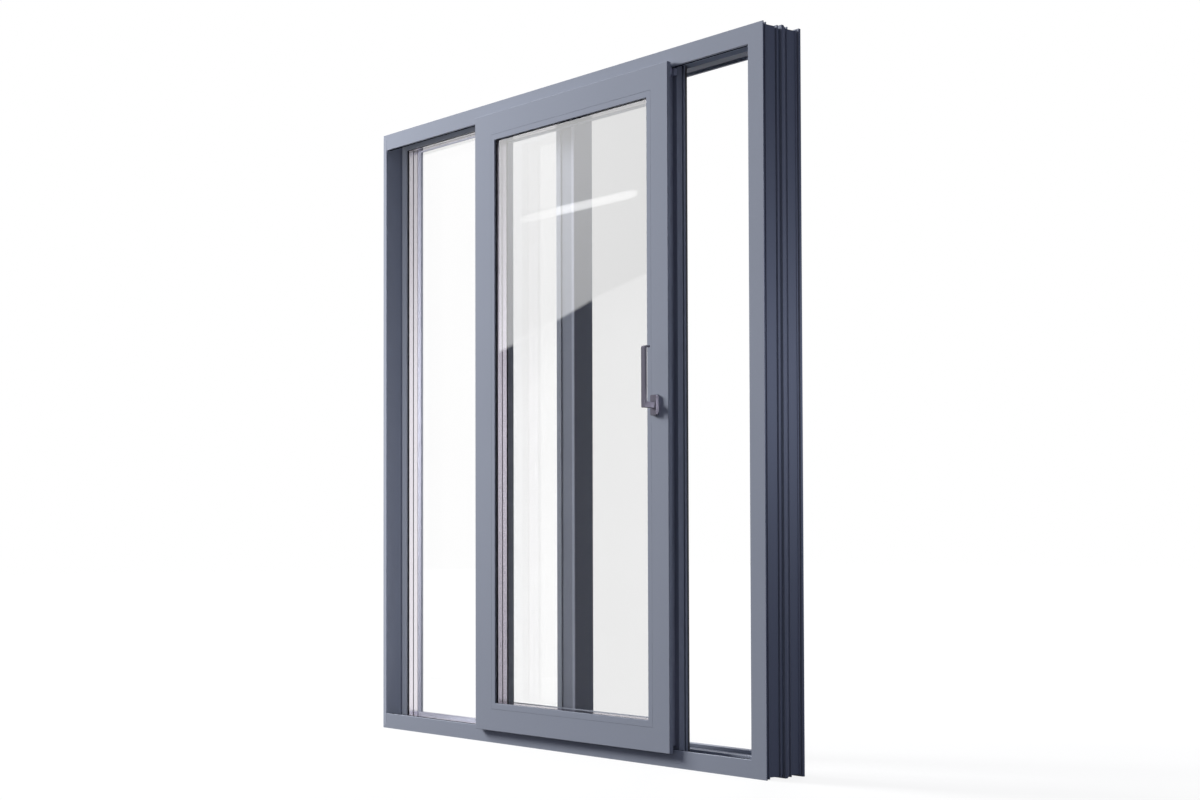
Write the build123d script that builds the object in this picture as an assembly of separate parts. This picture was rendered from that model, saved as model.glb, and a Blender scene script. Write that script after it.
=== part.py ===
from build123d import *
import os

# A two-track aluminium sliding door, seen from the room. X runs along the wall, Y runs from the
# room to the outside and Z is up. The origin is the middle of the sill's underside.
# Depths are counted from the room-side face of the frame, insets from the outer edge of the frame
# or of the leaf towards its middle.

# Outer frame
frame_width = 2000.0
frame_height = 2150.0
head_lip = 56.0
sill_lip = 52.0
left_lip = 20.0
right_lip = 63.0
lip_thickness = 8.0
channel_inset = 24.0
right_pocket_inset = 42.0

# Fins and grooves around the outside of the frame
fin_width = 4.0
fin_notch_width = 7.5
fin_notch_inset = 7.0
second_fin_width = 4.0
second_fin_inset = 2.0
land_inset = 6.5
groove_width = 4.5
groove_depth = 10.0
rib_width = 5.0
rib_inset = 3.0
inner_shell_depth = 63.0
break_width = 6.0
break_strip = 3.0
foot_setback = 5.0
foot_width = 8.0
foot_slope = 15.0
middle_fin_width = 3.0
middle_fin_inset = 2.0
back_land_inset = 7.0
back_rib_width = 4.5
back_rib_inset = 4.0
back_groove_width = 3.5
back_fin_width = 8.0

# Fixed light
bead_head_sight = 52.0
bead_sill_sight = 42.0
bead_left_sight = 46.0
cover_right_sight = 50.0
outer_flange_sight = 53.0
rebate_depth = 14.0
bead_face_width = 24.0
bead_sill_face_width = 16.0
bead_plate = 3.0
bead_body_depth = 4.0
bead_seat_gap = 0.3
wedge_gasket = 5.0
gasket_thickness = 3.0
gasket_height = 7.0
outer_flange_depth = 17.0
flange_slope = 8.0
flange_slope_inset = 10.0
flange_back_gap = 8.0

# Covers in the open bay
cover_depth = 38.0
cover_step = 6.0
threshold_rise = 7.0

# Glass units, both triple
pane = 4.0
spacer_gap = 16.0
glass_edge_gap = 4.0
spacer_height = 8.0

# Meeting post, measured from the middle of the door
post_left = -50.0
post_right = 43.0
post_strip_width = 12.0

# Moving leaf: how far it laps the frame's lips when shut, and how far it stands open
leaf_head_lap = 13.5
leaf_sill_lap = 9.5
leaf_jamb_lap = 14.0
leaf_post_margin = 2.0
leaf_opening = 344.0
leaf_front_offset = 20.0
leaf_flange = 14.0
leaf_depth = 80.0
leaf_slot_inset = 20.0
leaf_body_inset = 2.0
slot_clearance = 12.0
stile_left_face = 113.0
stile_right_face = 98.0
rail_face = 92.0
leaf_bead_width = 20.0
leaf_bead_depth = 5.0
bead_joint = 0.6
mitre_square = 30.0
edge_chamfer = 1.0
hardware_groove_back = 19.5
hardware_groove_width = 6.0
hardware_groove_depth = 8.0
rear_seal_width = 3.0
rear_seal_depth = 6.0
rear_seal_proud = 1.0

# Running gear
rail_width = 8.0
rail_height = 8.0
rail_crown = 3.0
roller_radius = 13.0
roller_width = 7.0
running_gap = 0.3
carriage_length = 150.0
carriage_width = 18.0
carriage_height = 34.0
carriage_wall = 2.5
carriage_end_gap = 120.0
roller_offset = 45.0
axle_radius = 3.0
pocket_clearance = 1.0
guide_fin_width = 4.0
guide_fin_height = 14.0
guide_length = 60.0
guide_width = 14.0
guide_height = 12.5
guide_slot = 5.0
guide_slot_depth = 9.5

# Lock and handle
faceplate_thickness = 3.0
faceplate_reach = 400.0
keep_reach = 360.0
keep_length = 90.0
keep_width = 16.0
keep_thickness = 4.0
bolt_slot_length = 34.0
bolt_slot_width = 3.0
keep_slot_width = 7.0
handle_from_edge = 58.0
handle_height = 1080.0
rosette_width = 28.0
rosette_height = 62.0
rosette_depth = 11.0
rosette_radius = 4.0
neck_height = 18.0
spindle_radius = 4.5
spindle_clearance = 0.3
spindle_depth = 8.0
grip_width = 18.0
grip_thickness = 9.0
grip_back_gap = 30.0
grip_length = 186.0
grip_return = 13.0
hook_thickness = 6.0
hook_radius = 8.0
neck_radius = 4.0
tip_radius = 2.5

# Drain caps
drain_count = 3
drain_length = 40.0
drain_height = 12.0
drain_proud = 2.0
drain_level = 24.0
drain_mouth_length = 30.0
drain_mouth_height = 4.0

# How far a cutting block reaches past what it cuts
cut_margin = 1.0

# Worked-out places
half_width = frame_width / 2
outer_shell_start = inner_shell_depth + break_width
bead_front = outer_shell_start - bead_plate
fixed_glass_front = outer_shell_start + bead_body_depth + wedge_gasket
unit_depth = 3 * pane + 2 * spacer_gap
outer_flange_start = fixed_glass_front + unit_depth + gasket_thickness
outer_flange_end = outer_flange_start + outer_flange_depth
frame_depth = outer_flange_end + flange_back_gap
front_y = -frame_depth / 2
leaf_front = -leaf_front_offset
leaf_back = leaf_front + leaf_depth
leaf_body_start = lip_thickness + slot_clearance
leaf_bottom = sill_lip - leaf_sill_lap
leaf_top = frame_height - head_lip + leaf_head_lap
leaf_left = post_left + leaf_post_margin - leaf_opening
leaf_right = half_width - right_lip + leaf_jamb_lap - leaf_opening
leaf_bead_back = leaf_front + leaf_bead_depth
leaf_glass_front = leaf_bead_back + wedge_gasket
leaf_stop_front = leaf_glass_front + unit_depth + gasket_thickness
track_depth = (leaf_body_start + leaf_back) / 2
lock_depth = leaf_back - hardware_groove_back + hardware_groove_width / 2
lock_levels = [handle_height - keep_reach, handle_height, handle_height + keep_reach]

FRAME = {"left": -half_width, "right": half_width, "bottom": 0.0, "top": frame_height}
LEAF = {"left": leaf_left, "right": leaf_right, "bottom": leaf_bottom, "top": leaf_top}
SIDES = ("head", "sill", "left", "right")


def save(name, shape):
    export_step(shape, f"parts/{name}.step")


def y_at(depth):
    return front_y + depth


def block(x0, x1, d0, d1, z0, z1):
    """A box between two corners, with its depth counted from the frame's room side."""
    middle = ((x0 + x1) / 2, y_at((d0 + d1) / 2), (z0 + z1) / 2)
    return Pos(*middle) * Box(abs(x1 - x0), abs(d1 - d0), abs(z1 - z0))


def place(ring, side, inset, depth):
    """A profile point on one side of a ring, at that side's start."""
    if side == "head":
        return (ring["left"], y_at(depth), ring["top"] - inset)
    if side == "sill":
        return (ring["left"], y_at(depth), ring["bottom"] + inset)
    if side == "left":
        return (ring["left"] + inset, y_at(depth), ring["bottom"])
    return (ring["right"] - inset, y_at(depth), ring["bottom"])


def bar(ring, side, outline):
    """The profile drawn as inset and depth, extruded along the whole side."""
    face = Face(Wire.make_polygon([place(ring, side, h, d) for h, d in outline], close=True))
    if side in ("head", "sill"):
        return Solid.extrude(face, Vector(ring["right"] - ring["left"], 0, 0))
    return Solid.extrude(face, Vector(0, 0, ring["top"] - ring["bottom"]))


def corner(ring, h_side, v_side, across, up):
    x = ring["left"] + across if h_side == "left" else ring["right"] - across
    z = ring["top"] - up if v_side == "head" else ring["bottom"] + up
    return (x, z)


def mitre_path(ring, h_side, v_side, insets, common, square):
    """From the outer corner inwards: a 45 degree cut, then on to the inner corner."""
    across, up = insets[h_side], insets[v_side]
    points = [corner(ring, h_side, v_side, 0, 0)]
    if common:
        points.append(corner(ring, h_side, v_side, common, common))
    if square:
        points.append(corner(ring, h_side, v_side, across - square, up - square))
    points.append(corner(ring, h_side, v_side, across, up))
    return points


def keep(ring, side, d0, d1, insets, common, square=0.0):
    """The wedge between two corner cuts, that one side of the ring may fill."""
    if side in ("head", "sill"):
        first = mitre_path(ring, "left", side, insets, common, square)
        second = mitre_path(ring, "right", side, insets, common, square)
    else:
        first = mitre_path(ring, side, "sill", insets, common, square)
        second = mitre_path(ring, side, "head", insets, common, square)
    outline = [(x, y_at(d0), z) for x, z in first + second[::-1]]
    return Solid.extrude(Face(Wire.make_polygon(outline, close=True)), Vector(0, d1 - d0, 0))


def stepped_edge(bands):
    """The outside of a profile as steps, from bands of start, end and inset."""
    points = []
    for start, end, inset in bands:
        points += [(inset, start), (inset, end)]
    return points


def inner_edge():
    """Fins and grooves around the room-side profile."""
    second_fin = fin_width + fin_notch_width
    land = second_fin + second_fin_width
    rib = inner_shell_depth - rib_width
    groove = rib - groove_width
    return stepped_edge([
        (0, fin_width, 0),
        (fin_width, second_fin, fin_notch_inset),
        (second_fin, land, second_fin_inset),
        (land, groove, land_inset),
        (groove, rib, groove_depth),
        (rib, inner_shell_depth, rib_inset),
    ])


def outer_edge():
    """Foot, fins and grooves around the outside profile."""
    foot = outer_shell_start + foot_setback
    slope = foot + foot_width
    fin = slope + foot_slope
    land = fin + middle_fin_width
    back_fin = frame_depth - back_fin_width
    groove = back_fin - back_groove_width
    rib = groove - back_rib_width
    setback = [(groove_depth, outer_shell_start), (groove_depth, foot)]
    return setback + [(0, foot), (0, slope), (back_land_inset, fin)] + stepped_edge([
        (fin, land, middle_fin_inset),
        (land, rib, back_land_inset),
        (rib, groove, back_rib_inset),
        (groove, back_fin, groove_depth),
        (back_fin, frame_depth, 0),
    ])


LIPS = {"head": head_lip, "sill": sill_lip, "left": left_lip, "right": right_lip}
CHANNELS = {"head": channel_inset, "sill": channel_inset, "left": left_lip, "right": right_pocket_inset}
SIGHTS = {"head": bead_head_sight, "sill": bead_sill_sight, "left": bead_left_sight,
          "right": cover_right_sight}
FLANGES = {"head": outer_flange_sight, "sill": outer_flange_sight, "left": bead_left_sight,
           "right": cover_right_sight}


LEAF_FACES = {"head": rail_face, "sill": rail_face, "left": stile_left_face, "right": stile_right_face}


def rebate(side):
    return SIGHTS[side] - rebate_depth


def inner_profile(side):
    """Room-side profile in two layers: the lip in front, then the floor of the leaf's channel."""
    lip, channel = LIPS[side], CHANNELS[side]
    inside = [(channel, inner_shell_depth)]
    if lip > channel:
        inside += [(channel, lip_thickness), (lip, lip_thickness)]
    inside += [(lip, edge_chamfer), (lip - edge_chamfer, 0)]
    whole = bar(FRAME, side, inner_edge() + inside)
    front = keep(FRAME, side, 0, lip_thickness, LIPS, left_lip)
    behind = keep(FRAME, side, lip_thickness, inner_shell_depth, CHANNELS, left_lip)
    return whole & front, whole & behind


def outer_profile(side):
    """Outside profile: the rebate for the glass and the flange behind it."""
    flange, floor = FLANGES[side], rebate(side)
    inside = [
        (flange - flange_slope_inset, frame_depth),
        (flange, outer_flange_end - flange_slope),
        (flange, outer_flange_start),
        (floor, outer_flange_start),
        (floor, outer_shell_start),
    ]
    whole = bar(FRAME, side, outer_edge() + inside)
    floors = {name: rebate(name) for name in SIDES}
    front = keep(FRAME, side, outer_shell_start, outer_flange_start, floors, left_lip)
    behind = keep(FRAME, side, outer_flange_start, frame_depth, FLANGES, left_lip)
    return (whole & front) + (whole & behind)


def break_strips(side):
    """Two insulating strips that join the room-side and outside profiles."""
    strips = []
    insets = {name: min(CHANNELS[name], rebate(name)) for name in SIDES}
    for inset in (groove_depth, insets[side] - break_strip):
        outline = [(inset, inner_shell_depth), (inset, outer_shell_start),
                   (inset + break_strip, outer_shell_start), (inset + break_strip, inner_shell_depth)]
        wedge = keep(FRAME, side, inner_shell_depth, outer_shell_start, insets, left_lip / 2)
        strips.append(bar(FRAME, side, outline) & wedge)
    return strips


def ring(left, right, bottom, top, thickness, d0, d1):
    """A flat rectangular ring, measured at its inner edge."""
    outer = block(left - thickness, right + thickness, d0, d1, bottom - thickness, top + thickness)
    return outer - block(left, right, d0 - cut_margin, d1 + cut_margin, bottom, top)


def make_frame():
    for side in SIDES:
        name = f"frame_{side}" if side in ("head", "sill") else f"frame_jamb_{side}"
        lip, channel = inner_profile(side)
        if LIPS[side] > CHANNELS[side]:
            save(f"{name}_lip", lip)
            save(f"{name}_inner", channel)
        else:
            save(f"{name}_inner", lip + channel)
        save(f"{name}_outer", outer_profile(side))
    save("thermal_break", Compound(children=[s for side in SIDES for s in break_strips(side)]))


def bead_strip(ring_box, side, sights, heights, front, back, chamfer):
    """One layer of a glazing bead, mitred to its neighbours."""
    sight, height = sights[side], heights[side]
    nose = [(sight - chamfer, front), (sight, front + chamfer)] if chamfer else [(sight, front)]
    outline = [(sight - height, front)] + nose + [(sight, back), (sight - height, back)]
    starts = {name: sights[name] - heights[name] for name in SIDES}
    strips = {"left": ring_box["left"] + starts["left"], "right": ring_box["right"] - starts["right"],
              "bottom": ring_box["bottom"] + starts["sill"], "top": ring_box["top"] - starts["head"]}
    return bar(ring_box, side, outline) & keep(strips, side, front, back, heights, 0)


def fixed_light_ring():
    """The fixed light as a ring of its own, whose right side is the meeting post."""
    return {"left": -half_width, "right": post_left + SIGHTS["left"], "bottom": 0.0, "top": frame_height}


def make_fixed_light():
    light = fixed_light_ring()
    sights = {**SIGHTS, "right": SIGHTS["left"]}
    heels = {name: rebate_depth - bead_seat_gap for name in SIDES}
    faces = {name: bead_face_width for name in SIDES}
    faces["sill"] = bead_sill_face_width
    for side in SIDES:
        plate = bead_strip(light, side, sights, faces, bead_front, outer_shell_start, edge_chamfer)
        heel = bead_strip(light, side, sights, heels, outer_shell_start,
                          outer_shell_start + bead_body_depth, 0)
        save(f"fixed_bead_{side}", plate + heel)
    left = -half_width + bead_left_sight
    right = post_left
    bottom = bead_sill_sight
    top = frame_height - bead_head_sight
    make_glass_unit("fixed", left, right, bottom, top, fixed_glass_front)


def make_glass_unit(name, left, right, bottom, top, front):
    """Three panes, two spacer frames and a gasket ring on each side, from the sight opening."""
    cover = rebate_depth - glass_edge_gap
    panes = []
    spacers = []
    for index in range(3):
        start = front + index * (pane + spacer_gap)
        panes.append(block(left - cover, right + cover, start, start + pane, bottom - cover, top + cover))
    for index in range(2):
        start = front + pane + index * (pane + spacer_gap)
        spacers.append(ring(left, right, bottom, top, spacer_height, start, start + spacer_gap))
    save(f"{name}_panes", Compound(children=panes))
    save(f"{name}_spacers", Compound(children=spacers))
    edge = edge_chamfer
    inner = ring(left - edge, right + edge, bottom - edge, top + edge, gasket_height,
                 front - wedge_gasket, front)
    back = front + unit_depth
    outer = ring(left - edge, right + edge, bottom - edge, top + edge, gasket_height,
                 back, back + gasket_thickness)
    save(f"{name}_gasket_inner", inner)
    save(f"{name}_gasket_outer", outer)


def make_post():
    """The upright between the bays, with the rebate of the fixed light on its left."""
    floor = post_left + rebate_depth
    outline = [
        (floor, outer_shell_start),
        (post_right, outer_shell_start),
        (post_right, outer_flange_end),
        (post_left + edge_chamfer, outer_flange_end),
        (post_left, outer_flange_end - edge_chamfer),
        (post_left, outer_flange_start),
        (floor, outer_flange_start),
    ]
    z0, z1 = rebate("sill"), frame_height - rebate("head")
    face = Face(Wire.make_polygon([(x, y_at(d), z0) for x, d in outline], close=True))
    post = Solid.extrude(face, Vector(0, 0, z1 - z0))
    start, end = post_left - cut_margin, post_right + cut_margin
    lower = block(start, end, outer_flange_start, frame_depth, 0, outer_flange_sight)
    upper = block(start, end, outer_flange_start, frame_depth, frame_height - outer_flange_sight,
                  frame_height)
    save("meeting_post", post - lower - upper)
    strip = block(post_right - post_strip_width, post_right, bead_front, outer_shell_start, z0, z1)
    save("meeting_post_strip", strip)


def cover_bar(side, outline, start, end):
    """A cover profile cut to length on one side of the frame."""
    whole = bar(FRAME, side, outline)
    if side in ("head", "sill"):
        return whole & block(start, end, 0, frame_depth, 0, frame_height)
    return whole & block(-half_width, half_width, 0, frame_depth, start, end)


def make_covers():
    """Covers over the empty rebate of the right bay."""
    start = outer_shell_start
    step = start + cover_depth
    head = [(rebate("head"), start), (cover_right_sight, start), (cover_right_sight, step),
            (rebate("head"), step)]
    right = [(rebate("right"), start), (cover_right_sight, start), (cover_right_sight, step),
             (rebate("right"), step)]
    rise = step + cover_step
    top = outer_flange_sight + threshold_rise
    sill = [
        (rebate("sill"), start), (cover_right_sight, start), (cover_right_sight, step),
        (cover_right_sight - cover_step, step), (cover_right_sight - cover_step, rise), (top, rise),
        (top, outer_flange_end - edge_chamfer), (outer_flange_sight, outer_flange_end - edge_chamfer),
        (outer_flange_sight, outer_flange_start), (rebate("sill"), outer_flange_start),
    ]
    jamb_face = half_width - rebate("right")
    save("head_cover", cover_bar("head", head, post_right, jamb_face))
    threshold = cover_bar("sill", sill, post_right, jamb_face)
    flange_end = half_width - FLANGES["right"]
    threshold -= block(flange_end, half_width, outer_flange_start, frame_depth, 0, frame_height)
    save("threshold_cover", threshold)
    jamb = cover_bar("right", right, top, frame_height - cover_right_sight)
    save("jamb_cover", jamb)


def make_rails():
    x0, x1 = -half_width + left_lip, half_width - right_pocket_inset
    rail = block(x0, x1, track_depth - rail_width / 2, track_depth + rail_width / 2,
                 channel_inset, channel_inset + rail_height)
    rail = fillet(rail.edges().filter_by(Axis.X).group_by(Axis.Z)[-1], rail_crown)
    save("track_rail", rail)
    roof = frame_height - channel_inset
    fin = block(x0, x1, track_depth - guide_fin_width / 2, track_depth + guide_fin_width / 2,
                roof - guide_fin_height, roof)
    save("head_guide_fin", fin)


def leaf_profile(side, face):
    """Leaf profile: flange in front, slot for the frame's lip, body with the glass rebate."""
    groove = leaf_back - hardware_groove_back
    groove_floor = leaf_body_inset + hardware_groove_depth
    seal = leaf_back - rear_seal_depth
    seal_floor = leaf_body_inset + rear_seal_width
    floor = face - rebate_depth
    outline = [
        (edge_chamfer, leaf_front),
        (0, leaf_front + edge_chamfer),
        (0, leaf_front + leaf_flange),
        (leaf_slot_inset, leaf_front + leaf_flange),
        (leaf_slot_inset, leaf_body_start),
        (leaf_body_inset, leaf_body_start),
        (leaf_body_inset, groove),
        (groove_floor, groove),
        (groove_floor, groove + hardware_groove_width),
        (leaf_body_inset, groove + hardware_groove_width),
        (leaf_body_inset, seal),
        (seal_floor, seal),
        (seal_floor, leaf_back),
        (face - edge_chamfer, leaf_back),
        (face, leaf_back - edge_chamfer),
        (face, leaf_stop_front),
        (floor, leaf_stop_front),
        (floor, leaf_bead_back),
        (face - leaf_bead_width, leaf_bead_back),
        (face - leaf_bead_width, leaf_front),
    ]
    wedge = keep(LEAF, side, leaf_front, leaf_back, LEAF_FACES, leaf_slot_inset, mitre_square)
    return bar(LEAF, side, outline) & wedge


def carriage_middles():
    offset = carriage_end_gap + carriage_length / 2
    return (leaf_left + offset, leaf_right - offset)


def make_leaf():
    names = {"head": "leaf_rail_top", "sill": "leaf_rail_bottom", "left": "leaf_stile_left",
             "right": "leaf_stile_right"}
    plates = {name: leaf_bead_width - bead_joint for name in SIDES}
    for side in SIDES:
        member = leaf_profile(side, LEAF_FACES[side])
        if side == "sill":
            for middle in carriage_middles():
                member -= carriage_pocket(middle)
        save(names[side], member)
        shape = bead_strip(LEAF, side, LEAF_FACES, plates, leaf_front, leaf_bead_back, edge_chamfer)
        save(f"leaf_bead_{side}", shape)
    make_glass_unit("leaf", leaf_left + stile_left_face, leaf_right - stile_right_face,
                    leaf_bottom + rail_face, leaf_top - rail_face, leaf_glass_front)
    inset = leaf_body_inset + rear_seal_width
    save("leaf_rear_seal", ring(leaf_left + inset, leaf_right - inset, leaf_bottom + inset, leaf_top - inset,
                                rear_seal_width + rear_seal_proud, leaf_back - rear_seal_depth, leaf_back))


def rail_top():
    return channel_inset + rail_height


def carriage_pocket(middle):
    half = carriage_length / 2 + pocket_clearance
    side = carriage_width / 2 + pocket_clearance
    bottom = leaf_bottom
    top = carriage_bottom() + carriage_height
    return block(middle - half, middle + half, track_depth - side, track_depth + side, bottom, top)


def carriage_bottom():
    return rail_top() + roller_radius / 2


def make_running_gear():
    housings = []
    rollers = []
    half = carriage_length / 2
    side = carriage_width / 2
    low = carriage_bottom()
    for middle in carriage_middles():
        housing = block(middle - half, middle + half, track_depth - side, track_depth + side,
                        low, low + carriage_height)
        inner = side - carriage_wall
        housing -= block(middle - half + carriage_wall, middle + half - carriage_wall,
                         track_depth - inner, track_depth + inner, low - cut_margin,
                         low + carriage_height - carriage_wall)
        housings.append(housing)
        for offset in (-roller_offset, roller_offset):
            centre = (middle + offset, y_at(track_depth), rail_top() + running_gap + roller_radius)
            wheel = Pos(*centre) * Rot(90, 0, 0) * Cylinder(roller_radius, roller_width)
            axle = Pos(*centre) * Rot(90, 0, 0) * Cylinder(axle_radius, 2 * inner)
            rollers.append(wheel + axle)
    save("roller_carriages", Compound(children=housings))
    save("rollers", Compound(children=rollers))
    guides = []
    low = leaf_top - leaf_body_inset
    for middle in carriage_middles():
        guide = block(middle - guide_length / 2, middle + guide_length / 2, track_depth - guide_width / 2,
                      track_depth + guide_width / 2, low, low + guide_height)
        guide -= block(middle - guide_length, middle + guide_length, track_depth - guide_slot / 2,
                       track_depth + guide_slot / 2, low + guide_height - guide_slot_depth,
                       low + guide_height + cut_margin)
        guides.append(guide)
    save("top_guides", Compound(children=guides))


def lock_slot(x0, x1, width, level):
    """A slot for one lock bolt, through a plate that stands across X."""
    return block(x0 - cut_margin, x1 + cut_margin, lock_depth - width / 2, lock_depth + width / 2,
                 level - bolt_slot_length / 2, level + bolt_slot_length / 2)


def make_lock():
    floor = leaf_right - leaf_body_inset - hardware_groove_depth
    face = floor + faceplate_thickness
    half = hardware_groove_width / 2
    plate = block(floor, face, lock_depth - half, lock_depth + half,
                  handle_height - faceplate_reach, handle_height + faceplate_reach)
    for level in lock_levels:
        plate -= lock_slot(floor, face, bolt_slot_width, level)
    save("lock_faceplate", plate)
    wall = half_width - right_pocket_inset
    keeps = []
    for level in lock_levels:
        strike = block(wall - keep_thickness, wall, lock_depth - keep_width / 2,
                       lock_depth + keep_width / 2, level - keep_length / 2, level + keep_length / 2)
        keeps.append(strike - lock_slot(wall - keep_thickness, wall, keep_slot_width, level))
    save("lock_keeps", Compound(children=keeps))


def turned_bar(x, z, d0, d1, radius):
    """A round bar that runs through the depth of the door."""
    return Pos(x, y_at((d0 + d1) / 2), z) * Rot(90, 0, 0) * Cylinder(radius, d1 - d0)


def lever_outline():
    """The lever seen from the side, as depth and height: neck, grip and the hook at its top."""
    rosette_front = leaf_front - rosette_depth
    neck_end = rosette_front - running_gap
    grip_back = rosette_front - grip_back_gap
    grip_front = grip_back - grip_thickness
    low = handle_height - neck_height / 2
    high = low + grip_length
    corners = [
        (grip_front, low, tip_radius),
        (grip_front, high, hook_radius),
        (grip_back + grip_return, high, tip_radius),
        (grip_back + grip_return, high - hook_thickness, tip_radius),
        (grip_back, high - hook_thickness, hook_radius - hook_thickness),
        (grip_back, low + neck_height, neck_radius),
        (neck_end, low + neck_height, 0),
        (neck_end, low, 0),
    ]
    return corners


def make_handle():
    x = leaf_right - handle_from_edge
    rosette_front = leaf_front - rosette_depth
    rosette = block(x - rosette_width / 2, x + rosette_width / 2, rosette_front, leaf_front,
                    handle_height - rosette_height / 2, handle_height + rosette_height / 2)
    rosette = fillet(rosette.edges().filter_by(Axis.Y), rosette_radius)
    rosette = chamfer(rosette.faces().sort_by(Axis.Y)[0].edges(), edge_chamfer)
    rosette -= turned_bar(x, handle_height, rosette_front - cut_margin, leaf_front + cut_margin,
                          spindle_radius + spindle_clearance)
    save("handle_rosette", rosette)
    corners = lever_outline()
    outline = Polygon(*[(y_at(d), z) for d, z, radius in corners], align=None)
    for d, z, radius in corners:
        if radius:
            vertex = outline.vertices().sort_by_distance((y_at(d), z))[0]
            outline = fillet(vertex, radius)
    lever = Pos(x, 0, 0) * extrude(Plane.YZ * outline, grip_width / 2, both=True)
    lever = chamfer(lever.faces().filter_by(Axis.X).edges(), edge_chamfer)
    lever += turned_bar(x, handle_height, rosette_front - running_gap, rosette_front + spindle_depth,
                        spindle_radius)
    save("handle_lever", lever)


def make_drains():
    caps = []
    for index in range(drain_count):
        x = frame_width * ((index + 0.5) / drain_count - 0.5)
        low = drain_level - drain_height / 2
        cap = block(x - drain_length / 2, x + drain_length / 2, frame_depth, frame_depth + drain_proud,
                    low, low + drain_height)
        cap = chamfer(cap.faces().sort_by(Axis.Y)[-1].edges(), edge_chamfer)
        cap -= block(x - drain_mouth_length / 2, x + drain_mouth_length / 2, frame_depth,
                     frame_depth + drain_proud + cut_margin, low - cut_margin, low + drain_mouth_height)
        caps.append(cap)
    save("drain_caps", Compound(children=caps))


os.makedirs("parts", exist_ok=True)
make_frame()
make_fixed_light()
make_post()
make_covers()
make_rails()
make_leaf()
make_running_gear()
make_lock()
make_handle()
make_drains()
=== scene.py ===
# %% [markdown]
# # A two-track sliding door
# The door is an aluminium frame with a fixed light on its left and a leaf that slides on the room
# side, here about a third of the way open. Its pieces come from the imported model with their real
# sizes, so this script gives them their finish and adds what is too small or too soft for the solid
# model: the brush seals behind the frame's lips, the foam plug in the leaf's slot and the screws of
# the lock.

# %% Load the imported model
import math
import bmesh
import bpy
from mathutils import Matrix, Vector


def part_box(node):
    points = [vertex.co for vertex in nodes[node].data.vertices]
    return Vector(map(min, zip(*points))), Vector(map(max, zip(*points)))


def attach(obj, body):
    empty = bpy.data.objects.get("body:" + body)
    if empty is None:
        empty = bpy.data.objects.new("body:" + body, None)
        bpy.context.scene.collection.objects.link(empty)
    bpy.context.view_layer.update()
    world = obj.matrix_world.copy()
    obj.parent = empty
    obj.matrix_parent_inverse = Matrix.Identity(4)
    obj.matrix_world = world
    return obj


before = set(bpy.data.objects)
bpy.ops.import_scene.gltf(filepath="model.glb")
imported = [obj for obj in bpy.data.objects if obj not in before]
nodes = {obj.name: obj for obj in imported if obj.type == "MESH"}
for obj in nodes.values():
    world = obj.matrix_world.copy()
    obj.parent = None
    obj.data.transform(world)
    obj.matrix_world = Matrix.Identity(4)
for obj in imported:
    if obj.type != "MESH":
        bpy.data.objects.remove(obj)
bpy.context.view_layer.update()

# %% [markdown]
# ## The camera
# The photograph is taken from the right of the door, about 0.7 m above its sill. The long edges of
# the frame run to two vanishing points, and from them come the focal length, the turn of the camera
# and its place. The middle of the lens sits below the middle of the picture. A small shift of the
# lens gives that, and the upright edges stay almost parallel. Tilting the camera up instead would
# make them lean.

# %% Camera at the photograph's place
picture_width = 1200.0
picture_height = 800.0
focal_pixels = 1923.6
principal_pixel = (600.0, 480.6)
camera_place = Vector((4.937, -3.829, 0.683))
camera_yaw = math.radians(51.271)
camera_pitch = math.radians(1.700)
camera_roll = math.radians(-0.163)
sensor_width = 36.0

forward = Vector((-math.sin(camera_yaw) * math.cos(camera_pitch),
                  math.cos(camera_yaw) * math.cos(camera_pitch), math.sin(camera_pitch)))
level_right = Vector((math.cos(camera_yaw), math.sin(camera_yaw), 0.0))
level_up = level_right.cross(forward)
right = level_right * math.cos(camera_roll) + level_up * math.sin(camera_roll)
up = level_up * math.cos(camera_roll) - level_right * math.sin(camera_roll)

lens = bpy.data.cameras.new("camera")
lens.sensor_width = sensor_width
lens.lens = focal_pixels * sensor_width / picture_width
lens.shift_y = (principal_pixel[1] - picture_height / 2) / picture_width
camera = bpy.data.objects.new("camera", lens)
turned = Matrix((right, up, -forward)).transposed().to_4x4()
camera.matrix_world = Matrix.Translation(camera_place) @ turned
bpy.context.scene.collection.objects.link(camera)
bpy.context.scene.camera = camera
print("camera: lens", round(lens.lens, 2), "mm, shift", round(lens.shift_y, 4))

# %% [markdown]
# ## Colours and nodes
# A colour is easiest to compare with a photograph when it is written as it looks on a screen, from
# 0 to 255. Blender mixes light in linear values, so one helper turns the first into the second.
# The other helpers put a node into a tree and wire it up, which keeps each finish short to read.

# %% Colour and node helpers
white = (1.0, 1.0, 1.0, 1.0)
mix_inputs = (0, 6, 7)
mix_output = 2


def screen(red, green, blue):
    """A colour as seen on a screen, turned into the linear values that shaders use."""
    channels = [c / 255 for c in (red, green, blue)]
    linear = [c / 12.92 if c <= 0.04045 else ((c + 0.055) / 1.055) ** 2.4 for c in channels]
    return (*linear, 1.0)


def feed(tree, socket, value):
    """Gives an input a value, or links it to another node's output."""
    if isinstance(value, bpy.types.NodeSocket):
        tree.links.new(value, socket)
    else:
        socket.default_value = value


def add(tree, kind, **inputs):
    """A node of a kind, with values or links for its named inputs, given with _ for a space."""
    node = tree.nodes.new(kind)
    for name, value in inputs.items():
        feed(tree, node.inputs[name.replace("_", " ")], value)
    return node


def math_node(tree, operation, *values):
    """The result of one math operation on numbers or links."""
    node = tree.nodes.new("ShaderNodeMath")
    node.operation = operation
    for socket, value in zip(node.inputs, values):
        feed(tree, socket, value)
    return node.outputs[0]


def coordinate(tree, vector, axis):
    """The X, Y or Z of a vector."""
    return add(tree, "ShaderNodeSeparateXYZ", Vector=vector).outputs[axis]


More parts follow.
